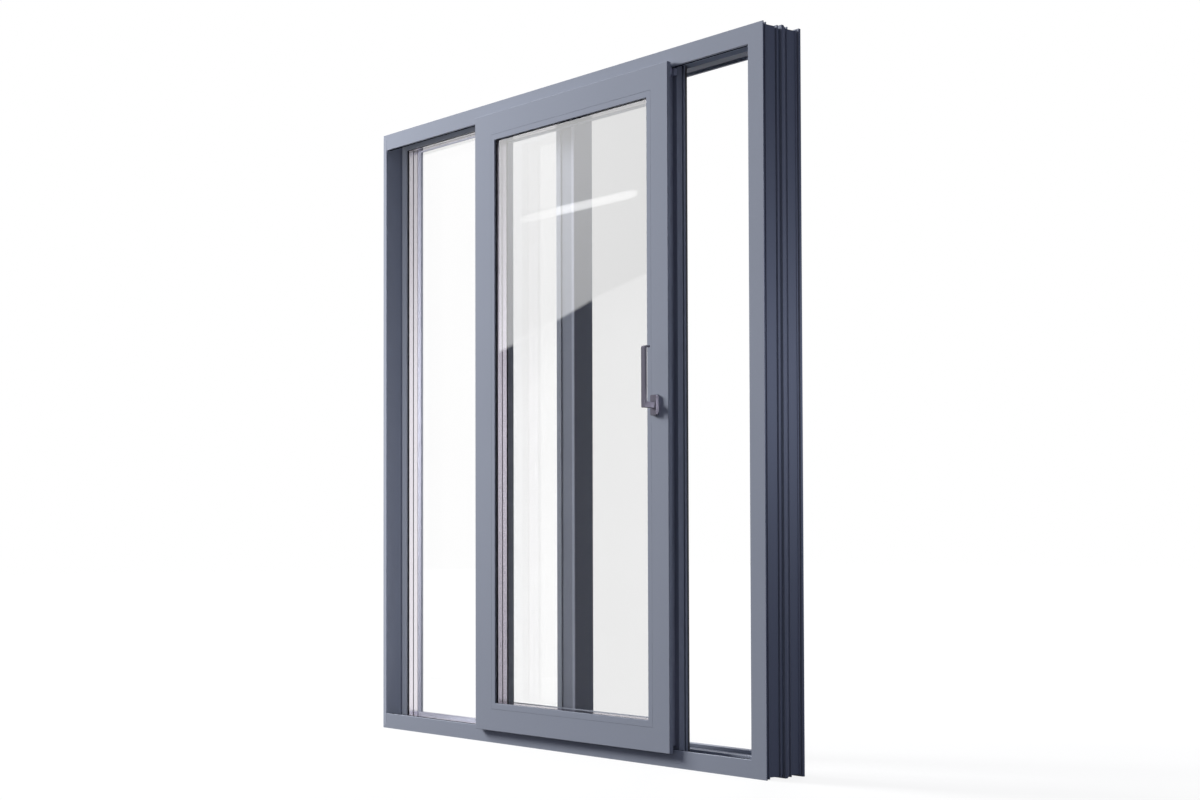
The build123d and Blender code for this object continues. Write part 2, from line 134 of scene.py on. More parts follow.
def surface_normal(tree):
    """The way that a face looks."""
    return tree.nodes.new("ShaderNodeNewGeometry").outputs["Normal"]


def ramp(tree, value, low, high):
    """0 below low, 1 above high and a smooth step between."""
    node = tree.nodes.new("ShaderNodeMapRange")
    node.interpolation_type = "SMOOTHSTEP"
    for name, number in (("From Min", low), ("From Max", high)):
        node.inputs[name].default_value = number
    tree.links.new(value, node.inputs["Value"])
    return node.outputs["Result"]


def mix(tree, factor, first, second, blend="MIX"):
    """Two colours mixed by a factor."""
    node = tree.nodes.new("ShaderNodeMix")
    node.data_type = "RGBA"
    node.blend_type = blend
    for number, value in zip(mix_inputs, (factor, first, second)):
        feed(tree, node.inputs[number], value)
    return node.outputs[mix_output]


def new_finish(name, roughness, metallic=0.0):
    """A material with its shader, its tree and its Object coordinates."""
    material = bpy.data.materials.new(name)
    material.use_nodes = True
    tree = material.node_tree
    shader = tree.nodes["Principled BSDF"]
    shader.inputs["Roughness"].default_value = roughness
    shader.inputs["Metallic"].default_value = metallic
    place = tree.nodes.new("ShaderNodeTexCoord").outputs["Object"]
    return material, tree, shader, place


# %% [markdown]
# ## Effects that several finishes share
# Powder coat, rubber and moulded plastic all have a fine grain and a slight cloudiness. Drawn
# metal has lines along its length. Both are made once as node groups that put out values, and
# every finish sets them to its own scale.

# %% Node group: grain and cloudiness
cloud_scale = 2.2


def new_group(name, inputs, outputs):
    """An empty shader group with named value inputs and outputs."""
    group = bpy.data.node_groups.new(name, "ShaderNodeTree")
    group.interface.new_socket(name="Place", in_out="INPUT", socket_type="NodeSocketVector")
    for socket, default in inputs.items():
        made = group.interface.new_socket(name=socket, in_out="INPUT", socket_type="NodeSocketFloat")
        made.default_value = default
    for socket in outputs:
        group.interface.new_socket(name=socket, in_out="OUTPUT", socket_type="NodeSocketFloat")
    return group, group.nodes.new("NodeGroupInput"), group.nodes.new("NodeGroupOutput")


def make_grain_group():
    group, given, out = new_group("grain", {"Scale": 900.0, "Cloud": 0.05}, ("Shade", "Height"))
    fine = add(group, "ShaderNodeTexNoise", Vector=given.outputs["Place"], Scale=given.outputs["Scale"],
               Detail=3.0, Roughness=0.6)
    cloud = add(group, "ShaderNodeTexNoise", Vector=given.outputs["Place"], Scale=cloud_scale, Detail=4.0)
    shade = 1.0
    for noise in (cloud, fine):
        swing = math_node(group, "SUBTRACT", noise.outputs[0], 0.5)
        swing = math_node(group, "MULTIPLY", swing, given.outputs["Cloud"])
        shade = math_node(group, "ADD", shade, swing)
    group.links.new(shade, out.inputs["Shade"])
    group.links.new(fine.outputs[0], out.inputs["Height"])
    return group


grain_group = make_grain_group()
print("group:", grain_group.name)

# %% Node group: drawn lines
darkest_line = 0.9
line_contrast = 0.2


def make_drawn_group():
    group, given, out = new_group("drawn_lines", {"Scale": 500.0, "Stretch": 0.01}, ("Shade", "Height"))
    squeezed = group.nodes.new("ShaderNodeVectorMath")
    squeezed.operation = "MULTIPLY"
    stretched = add(group, "ShaderNodeCombineXYZ", X=given.outputs["Stretch"], Y=1.0, Z=1.0)
    group.links.new(given.outputs["Place"], squeezed.inputs[0])
    group.links.new(stretched.outputs[0], squeezed.inputs[1])
    lines = add(group, "ShaderNodeTexNoise", Vector=squeezed.outputs[0], Scale=given.outputs["Scale"],
                Detail=2.0)
    shade = math_node(group, "MULTIPLY_ADD", lines.outputs[0], line_contrast, darkest_line)
    group.links.new(shade, out.inputs["Shade"])
    group.links.new(lines.outputs[0], out.inputs["Height"])
    return group


drawn_group = make_drawn_group()
print("group:", drawn_group.name)


# %% Using a group in a finish
def use_group(tree, group, place, **values):
    node = tree.nodes.new("ShaderNodeGroup")
    node.node_tree = group
    tree.links.new(place, node.inputs["Place"])
    for name, value in values.items():
        node.inputs[name].default_value = value
    return node


def shaded(tree, colour, shade):
    """A colour made lighter or darker by a value around 1."""
    grey = tree.nodes.new("ShaderNodeCombineColor")
    for channel in grey.inputs:
        tree.links.new(shade, channel)
    return mix(tree, 1.0, colour, grey.outputs[0], "MULTIPLY")


def bumped(tree, shader, height, strength, distance):
    bump = add(tree, "ShaderNodeBump", Height=height, Strength=strength, Distance=distance)
    tree.links.new(bump.outputs["Normal"], shader.inputs["Normal"])


# %% [markdown]
# ## Powder coat
# The frame and the leaf are aluminium profiles with a satin blue-grey powder coat. Powder melts
# into a skin with a very fine orange peel, so the colour is even and the gloss is broken up. A
# plain Principled shader with a low bump gives that: a stronger grain would look like plaster.
# Shade is painted into the colour of the two sides that go into the wall, by place and by facing.
# The meeting post and the head cover stand deep in the frame and get a copy of the coat with
# painted shade, a shade darker.

# %% Finish: powder coat
wall_side_start = 0.9795
wall_side_end = 0.9805
sideways_start = 0.3
sideways_end = 0.6
# Tint of the shade painted on the frame's two outer sides
side_shade_tint = (0.52, 0.55, 0.66, 1.0)
coat_shine = 0.12
coat_bump = 0.12
peel_height = 0.0003
smoothest_coat = 0.44
roughness_swing = 0.14


def wall_side(tree, place):
    """1 on the frame's two outer sides, which go into the wall, and 0 elsewhere."""
    from_middle = math_node(tree, "ABSOLUTE", coordinate(tree, place, "X"))
    return ramp(tree, from_middle, wall_side_start, wall_side_end)


def make_powder_coat(name, colour):
    material, tree, shader, place = new_finish(name, 0.5)
    shader.inputs["Specular IOR Level"].default_value = coat_shine
    grain = use_group(tree, grain_group, place, Scale=1100.0, Cloud=0.07)
    across = math_node(tree, "ABSOLUTE", coordinate(tree, surface_normal(tree), "X"))
    sideways = ramp(tree, across, sideways_start, sideways_end)
    # Painted shade: the frame's two outer sides are darkened by place and by facing
    shaded_side = math_node(tree, "MULTIPLY", sideways, wall_side(tree, place))
    side_shade = mix(tree, shaded_side, white, side_shade_tint)
    full = shaded(tree, colour, grain.outputs["Shade"])
    tree.links.new(mix(tree, 1.0, full, side_shade, "MULTIPLY"), shader.inputs["Base Color"])
    bumped(tree, shader, grain.outputs["Height"], coat_bump, peel_height)
    rough = math_node(tree, "MULTIPLY_ADD", grain.outputs["Height"], roughness_swing, smoothest_coat)
    tree.links.new(rough, shader.inputs["Roughness"])
    return material


powder_coat = make_powder_coat("powder_coat", screen(151, 156, 168))
# A copy of the coat with painted shade, for the meeting post and the head cover
shaded_post_coat = make_powder_coat("shaded_post_coat", screen(130, 135, 148))
print("finishes:", powder_coat.name, shaded_post_coat.name)

# %% [markdown]
# ## Glass
# Both lights are triple glazed. Six faces of glass together mirror about a quarter of what stands
# before them when they are seen at a slant. Six weak mirrors one behind the other are slow to
# render and leave a noisy picture, so here the sheets only let light through, and a clear coat on
# the room-side face of each unit does most of the mirroring of all six. The outside face has less.

# %% Finish: glass
glass_index = 1.05
mirror_index = 2.0
face_depth = 0.001
outside_coat = 0.08
wave_scale = 2.5
wave_tint = screen(254, 254, 254)


def make_glass(name, node, tint):
    material, tree, shader, place = new_finish(name, 0.0)
    shader.inputs["IOR"].default_value = glass_index
    shader.inputs["Transmission Weight"].default_value = 1.0
    shader.inputs["Coat IOR"].default_value = mirror_index
    shader.inputs["Coat Roughness"].default_value = 0.0
    wave = add(tree, "ShaderNodeTexNoise", Vector=place, Scale=wave_scale, Detail=1.0)
    clear = mix(tree, wave.outputs[0], tint, wave_tint, "MULTIPLY")
    tree.links.new(clear, shader.inputs["Base Color"])
    low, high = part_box(node)
    depth = coordinate(tree, place, "Y")
    room_side = math_node(tree, "LESS_THAN", depth, low.y + face_depth)
    outside = math_node(tree, "GREATER_THAN", depth, high.y - face_depth)
    coat = math_node(tree, "MULTIPLY_ADD", outside, outside_coat, room_side)
    tree.links.new(coat, shader.inputs["Coat Weight"])
    return material


leaf_glass = make_glass("leaf_glass", "leaf_panes", screen(249, 249, 249))
fixed_glass = make_glass("fixed_glass", "fixed_panes", white)
for name in ("leaf_panes", "fixed_panes"):
    nodes[name].visible_shadow = False
print("finishes:", leaf_glass.name, fixed_glass.name)

# %% [markdown]
# ## Rubber, plastic and metal
# Gaskets are matt black rubber, but the outer one and the seal strip are grey like the frame, and so
# are the plastic bars between its two halves. The handle is a cast lever with a dark satin finish,
# and shade is painted on its faces that look down, so they turn almost black. The steel of the
# running gear and the lock is drawn or rolled, so its lines run along its length. The spacers
# between the panes are bright aluminium, with painted shade in their head piece, towards the top
# and, in the leaf, towards the foot; the leaf's spacers are also a painted shade darker all over.
# One colour all over would be simpler, but then the bars would look like strips of white paint.

# %% Finishes: rubber and plastic
grain_height = 0.0004


def make_soft_finish(name, colour, roughness, scale, cloud, strength=0.2, shine=0.5):
    material, tree, shader, place = new_finish(name, roughness)
    shader.inputs["Specular IOR Level"].default_value = shine
    grain = use_group(tree, grain_group, place, Scale=scale, Cloud=cloud)
    tree.links.new(shaded(tree, colour, grain.outputs["Shade"]), shader.inputs["Base Color"])
    bumped(tree, shader, grain.outputs["Height"], strength, grain_height)
    return material


rubber = make_soft_finish("gasket_rubber", screen(30, 30, 40), 0.6, 1500.0, 0.25)
seal_rubber = make_soft_finish("seal_strip_rubber", screen(158, 162, 176), 0.55, 1400.0, 0.1)
black_plastic = make_soft_finish("black_plastic", screen(38, 38, 48), 0.45, 700.0, 0.12)
bar_plastic = make_soft_finish("bar_plastic", screen(140, 145, 160), 0.5, 700.0, 0.1)
nylon = make_soft_finish("roller_nylon", screen(214, 212, 205), 0.4, 800.0, 0.06)
cap_plastic = make_soft_finish("cap_plastic", screen(142, 148, 162), 0.5, 700.0, 0.08)
print("soft finishes made:", rubber.name, "to", cap_plastic.name)


# %% Finishes: metal
down_start = -0.5
down_end = -0.9
line_height = 0.0002
spacer_bar = 0.012
spacer_edge = 0.001


def make_metal(name, colour, roughness, metallic, scale, stretch, strength=0.1, underside_shade=0.0):
    """Drawn metal, with shade painted by a share on faces that look down."""
    material, tree, shader, place = new_finish(name, roughness, metallic)
    lines = use_group(tree, drawn_group, place, Scale=scale, Stretch=stretch)
    # Painted shade on the faces that look down
    down = ramp(tree, coordinate(tree, surface_normal(tree), "Z"), down_start, down_end)
    lit = math_node(tree, "SUBTRACT", 1.0, math_node(tree, "MULTIPLY", down, underside_shade))
    level = math_node(tree, "MULTIPLY", lines.outputs["Shade"], lit)
    tree.links.new(shaded(tree, colour, level), shader.inputs["Base Color"])
    bumped(tree, shader, lines.outputs["Height"], strength, line_height)
    return material


steel = make_metal("drawn_steel", screen(150, 152, 158), 0.34, 1.0, 700.0, 0.02)
mill_aluminium = make_metal("mill_aluminium", screen(190, 192, 198), 0.38, 1.0, 500.0, 0.01)


def make_spacer_metal(name, node, colour, head_shade, top_shade, foot_shade):
    """Spacer metal with shade painted at its top, foot and head piece, so it is brightest at mid height.
    """
    material, tree, shader, place = new_finish(name, 0.22, 1.0)
    lines = use_group(tree, drawn_group, place, Scale=900.0, Stretch=0.001)
    height = coordinate(tree, place, "Z")
    low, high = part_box(node)
    middle = (low.z + high.z) / 2
    under_head = high.z - spacer_bar
    unshaded = 1.0
    # Painted shade, in shares that grow towards the top, the foot and the head piece
    for share, start, end in ((top_shade, middle, under_head), (foot_shade, middle, low.z),
                              (head_shade, under_head - spacer_edge, under_head + spacer_edge)):
        part = math_node(tree, "MULTIPLY", ramp(tree, height, start, end), share)
        unshaded = math_node(tree, "SUBTRACT", unshaded, part)
    level = math_node(tree, "MULTIPLY", lines.outputs["Shade"], unshaded)
    tree.links.new(shaded(tree, colour, level), shader.inputs["Base Color"])
    bumped(tree, shader, lines.outputs["Height"], 0.1, line_height)
    return material


# The leaf's spacers get a darker copy of the colour: painted shade all over
fixed_spacer_metal = make_spacer_metal("fixed_spacer_aluminium", "fixed_spacers", screen(253, 248, 255),
                                       0.22, 0.36, 0.0)
leaf_spacer_metal = make_spacer_metal("leaf_spacer_aluminium", "leaf_spacers", screen(236, 229, 244),
                                      0.1, 0.65, 0.27)
# The last value paints shade on the handle's faces that look down, so they turn almost black
handle_metal = make_metal("handle_metal", screen(114, 111, 124), 0.4, 0.3, 600.0, 0.4, 0.05, 0.9)
print("finishes:", len(bpy.data.materials))

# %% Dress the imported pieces
finishes = {
    leaf_glass: ["leaf_panes"],
    fixed_glass: ["fixed_panes"],
    fixed_spacer_metal: ["fixed_spacers"],
    leaf_spacer_metal: ["leaf_spacers"],
    rubber: ["fixed_gasket_inner", "leaf_gasket_inner", "leaf_gasket_outer", "leaf_rear_seal"],
    black_plastic: ["top_guides"],
    bar_plastic: ["thermal_break"],
    seal_rubber: ["meeting_post_strip", "fixed_gasket_outer"],
    steel: ["track_rail", "roller_carriages", "lock_keeps", "lock_faceplate"],
    nylon: ["rollers"],
    cap_plastic: ["drain_caps"],
    handle_metal: ["handle_rosette", "handle_lever"],
    mill_aluminium: ["head_guide_fin"],
    shaded_post_coat: ["meeting_post", "head_cover"],
}
finish_of = {name: finish for finish, names in finishes.items() for name in names}
for name, node in nodes.items():
    node.data.materials.clear()
    node.data.materials.append(finish_of.get(name, powder_coat))
print("dressed:", len(nodes), "nodes,", len(finish_of), "of them not powder coated")

# %% [markdown]
# ## Pieces that only the scene has
# The solid model holds every profile, pane and fitting. Left out of it is what is soft or a few
# millimetres small. Each piece is modelled at its place in the door's own coordinates, in metres,
# and then rides on the body that it is fixed to.

# %% Helpers for new pieces
quarter_turn = math.radians(90)


def settle(name, finish, body):
    """Names the active piece, puts its place into its mesh, dresses it and fixes it to a body."""
    piece = bpy.context.object
    piece.name = name
    bpy.ops.object.transform_apply(location=True, rotation=True, scale=True)
    piece.data.materials.append(finish)
    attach(piece, body)
    return piece


def pick_faces(piece, wanted):
    """In edit mode, selects the faces whose middle and normal pass a test."""
    mesh = bmesh.from_edit_mesh(piece.data)
    for face in mesh.faces:
        face.select = wanted(face.calc_center_median(), face.normal)
    mesh.select_flush_mode()
    bmesh.update_edit_mesh(piece.data)


# %% [markdown]
# ## Brush seals
# A strip of black pile sits in a groove at the back of the head lip and of the sill lip, and the
# slot in the leaf's edge brushes along it. It shows as a thin dark line under the edge of the lip.
# It could be thousands of fibres, but at this size only its edge can be told from a solid bar, so
# it is a grid, drawn out to its depth, whose far side is made uneven.

# %% Brush seals behind the lips
pile_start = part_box("frame_head_lip")[1].y
pile_depth = 0.0055
pile_height = 0.007
pile_proud = 0.0005
pile_unevenness = 0.0005
pile_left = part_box("frame_jamb_left_inner")[1].x
pile_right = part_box("frame_jamb_right_inner")[0].x
tuft_spacing = 0.005


def make_brush(name, low):
    """A brush seal whose lower edge is at a height."""
    length = pile_right - pile_left
    bpy.ops.object.select_all(action="DESELECT")
    bpy.ops.mesh.primitive_grid_add(
        x_subdivisions=round(length / tuft_spacing), y_subdivisions=3, size=1,
        location=((pile_left + pile_right) / 2, pile_start, low + pile_height / 2),
        rotation=(quarter_turn, 0, 0))
    bpy.ops.object.mode_set(mode="EDIT")
    bpy.ops.mesh.select_all(action="SELECT")
    bpy.ops.transform.resize(value=(length, 1, pile_height))
    bpy.ops.mesh.extrude_region_move(TRANSFORM_OT_translate={"value": (0, pile_depth, 0)})
    bpy.ops.transform.vertex_random(offset=pile_unevenness, seed=4)
    bpy.ops.mesh.select_all(action="SELECT")
    bpy.ops.mesh.normals_make_consistent(inside=False)
    bpy.ops.object.mode_set(mode="OBJECT")
    return settle(name, pile, "frame")


pile = make_soft_finish("brush_pile", screen(16, 16, 22), 0.9, 2500.0, 0.5, 0.5, 0.0)
head_brush = make_brush("head_brush_seal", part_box("frame_head_lip")[0].z - pile_proud)
sill_brush = make_brush("sill_brush_seal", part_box("frame_sill_lip")[1].z + pile_proud - pile_height)
print("brushes:", head_brush.name, sill_brush.name, "of", len(head_brush.data.polygons), "faces each")

# %% [markdown]
# ## Foam plug
# At the top of the lock side a block of grey foam closes the slot in the leaf's edge, so that no
# draught runs up it. A slit in the block takes the lip of the jamb when the door shuts. It is a box
# with the slit cut out by a second box and with soft edges all round, like foam that was cut and
# then handled.

# %% Foam plug in the lock-side slot
stile_low, stile_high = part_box("leaf_stile_right")
lip_low, lip_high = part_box("frame_jamb_right_lip")
slot_depth = 0.02
slot_front = 0.014
slot_back = 0.04
plug_setback = 0.0005
plug_drop = 0.0165
plug_height = 0.02
plug_rounding = 0.0008
slit_floor = 0.0045
slit_gap = 0.0005
cutter_reach = 0.01

plug_low = Vector((stile_high.x - slot_depth, stile_low.y + slot_front,
                   stile_high.z - plug_drop - plug_height))
plug_high = Vector((stile_high.x - plug_setback, stile_low.y + slot_back, stile_high.z - plug_drop))
slit_low = Vector((plug_low.x + slit_floor, lip_low.y - slit_gap, plug_low.z - cutter_reach))
slit_high = Vector((plug_high.x + cutter_reach, lip_high.y + slit_gap, plug_high.z + cutter_reach))


def add_box(low, high):
    """A box between two corners, as the active object."""
    bpy.ops.object.select_all(action="DESELECT")
    bpy.ops.mesh.primitive_cube_add(size=1, location=(low + high) / 2)
    box = bpy.context.object
    bpy.ops.object.mode_set(mode="EDIT")
    bpy.ops.mesh.select_all(action="SELECT")
    bpy.ops.transform.resize(value=high - low)
    bpy.ops.object.mode_set(mode="OBJECT")
    bpy.ops.object.transform_apply(location=True, rotation=True, scale=True)
    return box


def cut(piece, cutter):
    """Takes a second object's shape out of a piece, and removes that object."""
    bpy.ops.object.select_all(action="DESELECT")
    piece.select_set(True)
    bpy.context.view_layer.objects.active = piece
    taken = piece.modifiers.new("cut", "BOOLEAN")
    taken.object = cutter
    taken.operation = "DIFFERENCE"
    taken.solver = "EXACT"
    bpy.ops.object.modifier_apply(modifier=taken.name)
    bpy.data.objects.remove(cutter)


foam = make_soft_finish("grey_foam", screen(190, 193, 208), 0.95, 1800.0, 0.3, 0.5, 0.0)
slit = add_box(slit_low, slit_high)
block = add_box(plug_low, plug_high)
cut(block, slit)
bpy.ops.object.mode_set(mode="EDIT")
bpy.ops.mesh.select_all(action="SELECT")
bpy.ops.mesh.bevel(offset=plug_rounding, segments=2, affect="EDGES")
bpy.ops.mesh.normals_make_consistent(inside=False)
bpy.ops.object.mode_set(mode="OBJECT")
plug = settle("foam_plug", foam, "leaf")
print("plug:", len(plug.data.polygons), "faces")

# %% [markdown]
# ## Lock screws
# The lock's faceplate and its three keeps are held by small countersunk screws with a hexagonal
# socket. A screw is turned from a cylinder with a bevelled rim, and a six-sided cylinder cuts its
# socket. One is made for the leaf and one for the frame, which look at each other. The rest are
# copies of these two, because a screw is the same everywhere.

# %% One screw
screw_radius = 0.0024
screw_height = 0.0016
screw_proud = 0.0003
screw_rim = 0.00035
socket_radius = 0.0011
socket_depth = 0.001
facing_share = 0.99


def make_screw(name, head, outward, body):
    """A screw whose head is at a point and looks along +X or -X."""
    bpy.ops.object.select_all(action="DESELECT")
    middle = head + Vector((outward * (screw_proud - screw_height / 2), 0, 0))
    bpy.ops.mesh.primitive_cylinder_add(vertices=32, radius=screw_radius, depth=screw_height,
                                        location=middle, rotation=(0, quarter_turn, 0))
    screw = bpy.context.object
    bpy.ops.object.transform_apply(location=True, rotation=True, scale=True)
    bpy.ops.object.mode_set(mode="EDIT")
    pick_faces(screw, lambda centre, normal: normal.x * outward > facing_share)
    bpy.ops.mesh.bevel(offset=screw_rim, segments=3, affect="EDGES")
    bpy.ops.object.mode_set(mode="OBJECT")
    bpy.ops.object.select_all(action="DESELECT")
    bpy.ops.mesh.primitive_cylinder_add(
        vertices=6, radius=socket_radius, depth=2 * socket_depth,
        location=head + Vector((outward * screw_proud, 0, 0)), rotation=(0, quarter_turn, 0))
    cut(screw, bpy.context.object)
    return settle(name, steel, body)


def copy_screw(first, name, shift, body):
    """A screw with a mesh of its own, moved along the door."""
    screw = first.copy()
    screw.data = first.data.copy()
    screw.name = name
    screw.data.transform(Matrix.Translation(shift))
    bpy.context.scene.collection.objects.link(screw)
    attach(screw, body)
    return screw


# %% Screws of the faceplate and the keeps
plate_low, plate_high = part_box("lock_faceplate")
keep_low, keep_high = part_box("lock_keeps")
plate_inset = 0.012
keep_half = 0.045
keep_screw_reach = 0.031

low_bolt = keep_low.z + keep_half
high_bolt = keep_high.z - keep_half
middle_bolt = (low_bolt + high_bolt) / 2
plate_levels = (plate_low.z + plate_inset, (low_bolt + middle_bolt) / 2,
                (middle_bolt + high_bolt) / 2, plate_high.z - plate_inset)
keep_levels = [level + side * keep_screw_reach
               for level in (low_bolt, middle_bolt, high_bolt) for side in (-1, 1)]

plate_head = Vector((plate_high.x, (plate_low.y + plate_high.y) / 2, plate_levels[0]))
plate_screw = make_screw("faceplate_screw_1", plate_head, 1, "leaf")
for number, level in enumerate(plate_levels[1:], 2):
    shift = Vector((0, 0, level - plate_levels[0]))
    copy_screw(plate_screw, f"faceplate_screw_{number}", shift, "leaf")
keep_head = Vector((keep_low.x, (keep_low.y + keep_high.y) / 2, keep_levels[0]))
keep_screw = make_screw("keep_screw_1", keep_head, -1, "frame")
for number, level in enumerate(keep_levels[1:], 2):
    shift = Vector((0, 0, level - keep_levels[0]))
    copy_screw(keep_screw, f"keep_screw_{number}", shift, "frame")
print("screws:", len(plate_levels) + len(keep_levels), "of", len(plate_screw.data.polygons), "faces")

# %% [markdown]
# ## Stage and light
# The photograph shows the door cut out on white. A plain floor and a white world give that: both
# look white to the camera and in glass and gloss, while the light that they throw on the door stays
# low, so that the sides that face away from the lamp turn dark as they do in the picture.
#
# The key lamp stands high on the left and makes the fall of light from left to right. The back lamp
# lights the outside and the side lamp the right jamb. The rest are small lamps whose light is linked
# to a few pieces each: the left jamb, the beads beside it, the outer profiles behind the glass, the
# head of the right bay and the handle. Daylight reaches these from many sides. More light for the
# whole door would do that too, but it would wash out the dark reveals.

# %% World
def seen_directly(tree):
    """1 for the camera and for what mirrors or glass show, 0 for the light that surfaces gather."""
    rays = tree.nodes.new("ShaderNodeLightPath").outputs
    either = math_node(tree, "MAXIMUM", rays["Is Camera Ray"], rays["Is Glossy Ray"])
    any_of_three = math_node(tree, "MAXIMUM", either, rays["Is Transmission Ray"])
    never_scattered = math_node(tree, "LESS_THAN", rays["Diffuse Depth"], 0.5)
    return math_node(tree, "MULTIPLY", any_of_three, never_scattered)


ambient_light = (0.19, 0.205, 0.265, 1.0)

world = bpy.data.worlds.new("studio")
bpy.context.scene.world = world
world.use_nodes = True
world.cycles.sampling_method = "NONE"
sky = world.node_tree
background = sky.nodes["Background"]
sky.links.new(mix(sky, seen_directly(sky), ambient_light, white), background.inputs["Color"])
print("world:", world.name)

# %% Floor
floor_size = 60.0
floor_drop = 0.0002
floor_light = 1.03
floor_white = 0.85
shadow_reach = 1.6
shadow_end = 3.2
pale_floor = (0.8, 0.8, 0.8, 1.0)
dim_floor = (0.06, 0.06, 0.075, 1.0)

bpy.ops.object.select_all(action="DESELECT")
bpy.ops.mesh.primitive_plane_add(size=floor_size, location=(0, 0, -floor_drop))
floor = bpy.context.object
floor.name = "floor"
floor_paint = bpy.data.materials.new("floor_paint")
floor_paint.use_nodes = True
tree = floor_paint.node_tree
matt = tree.nodes["Principled BSDF"]
scattered = tree.nodes.new("ShaderNodeLightPath").outputs["Is Diffuse Ray"]
tree.links.new(mix(tree, scattered, pale_floor, dim_floor), matt.inputs["Base Color"])
matt.inputs["Roughness"].default_value = 1.0
matt.inputs["Specular IOR Level"].default_value = 0.0
shine = add(tree, "ShaderNodeEmission", Color=white, Strength=floor_light)
away = add(tree, "ShaderNodeVectorMath", Vector=tree.nodes.new("ShaderNodeTexCoord").outputs["Object"])
away.operation = "LENGTH"
fade = ramp(tree, away.outputs["Value"], shadow_reach, shadow_end)
plain = math_node(tree, "MULTIPLY_ADD", fade, 1.0 - floor_white, floor_white)
share = math_node(tree, "MULTIPLY", seen_directly(tree), plain)
blend = add(tree, "ShaderNodeMixShader", Fac=share)
tree.links.new(matt.outputs[0], blend.inputs[1])
tree.links.new(shine.outputs[0], blend.inputs[2])
tree.links.new(blend.outputs[0], tree.nodes["Material Output"].inputs["Surface"])
floor.data.materials.append(floor_paint)
print("floor:", floor_size, "m")


# %% Lamps
def add_lamp(name, place, target, size, watts, spread=180.0, height=None):
    data = bpy.data.lights.new(name, "AREA")
    data.shape = "RECTANGLE"
    data.size = size
    data.size_y = height or size
    data.energy = watts
    data.spread = math.radians(spread)
    lamp = bpy.data.objects.new(name, data)
    lamp.location = place
    lamp.rotation_euler = (Vector(target) - Vector(place)).to_track_quat("-Z", "Y").to_euler()
    lamp.visible_camera = False
    lamp.visible_transmission = False
    lamp.visible_glossy = False
    bpy.context.scene.collection.objects.link(lamp)
    return lamp


add_lamp("key_lamp", place=(-7.4, -2.9, 4.6), target=(-0.4, 0.0, 2.3), size=3.0, watts=442.0, spread=90.0)
add_lamp("back_lamp", place=(-3.0, 4.5, 3.0), target=(0.0, 0.0, 1.0), size=2.5, watts=200.0)
left_lamp = add_lamp("left_lamp", place=(2.2, -3.2, 0.8), target=(-0.95, 0.0, 0.6), size=0.8, watts=5.8,
                     spread=50.0)
add_lamp("side_lamp", place=(1.68, 0.02, 1.15), target=(1.0, 0.0, 1.15), size=0.2, watts=1.9)
handle_lamp = add_lamp("handle_lamp", place=(0.98, -0.112, 1.12), target=(0.56, -0.105, 1.078), size=0.03,
                       watts=0.022, spread=14.0)
bead_lamp = add_lamp("bead_lamp", place=(-0.6, -1.8, 1.25), target=(-0.8, 0.0, 1.3), size=0.8, watts=10.5)
bay_lamp = add_lamp("bay_lamp", place=(0.1, -1.8, 1.25), target=(-0.9, 0.06, 1.1), size=0.8, watts=46.0,
                    spread=90.0)
bay_lamp.data.color = (1.0, 0.92, 0.93)
head_lamp = add_lamp("head_lamp", place=(0.5, -0.05, 2.108), target=(0.5, -0.006, 2.115), size=0.9,
                     watts=0.05, height=0.006)
head_lamp.data.color = (0.84, 0.9, 1.0)
outer_lamp = add_lamp("outer_lamp", place=(-0.1, 0.0615, 1.2), target=(-0.95, 0.0615, 1.2), size=0.02,
                      watts=4.0, height=1.6)


def light_only(lamp, names):
    """Keep a lamp's light to the named pieces."""
    receivers = bpy.data.collections.new(lamp.name + "_receivers")
    for name in names:
        receivers.objects.link(nodes[name])
    lamp.light_linking.receiver_collection = receivers


light_only(handle_lamp, ["handle_lever", "handle_rosette"])
light_only(bead_lamp, ["fixed_bead_left", "fixed_bead_head"])
outer_pieces = ["frame_jamb_left_outer", "frame_head_outer", "frame_sill_outer", "fixed_gasket_outer"]
light_only(bay_lamp, outer_pieces)
light_only(outer_lamp, outer_pieces)
light_only(head_lamp, ["frame_head_outer", "head_cover"])
light_only(left_lamp, ["frame_jamb_left_inner", "fixed_bead_left"])
print("lamps:", len(bpy.data.lights))

# %% [markdown]
# ## What the glass shows
# In the photograph the leaf's glass shows a bright upper part with a slanted edge, a darker part
# below it and a bright streak. Real reflections come from real things, so a card stands where the
# mirrored rays go. It is worked out by following the camera's rays to the glass and back. A second
# card, straight behind the glass, sets how bright the view through it is. Painting the glass itself
# would be quicker, but the marks would then slide along with the leaf.


# %% Rays through named pixels
glass_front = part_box("leaf_panes")[0].y


def ray_to(pixel):
    """Direction from the camera through a pixel of the photograph."""
    across = pixel[0] - principal_pixel[0]
    above = principal_pixel[1] - pixel[1]
    return (forward * focal_pixels + right * across + up * above).normalized()


def on_glass(pixel):
    direction = ray_to(pixel)
    return camera_place + direction * ((glass_front - camera_place.y) / direction.y)


def mirrored(pixel, distance):
    """Where the ray through a pixel is, that far after the leaf's glass has mirrored it."""
    direction = ray_to(pixel)
    direction.y = -direction.y
    return on_glass(pixel) + direction * distance


def beyond(pixel, distance):
    """Where the ray through a pixel is, that far behind the leaf's glass."""
    return on_glass(pixel) + ray_to(pixel) * distance


# %% The slanted edge
edge_pixels = ((470.0, 366.0), (511.0, 346.0), (558.0, 320.0),
               (594.0, 299.0), (646.0, 274.5), (680.0, 262.0))


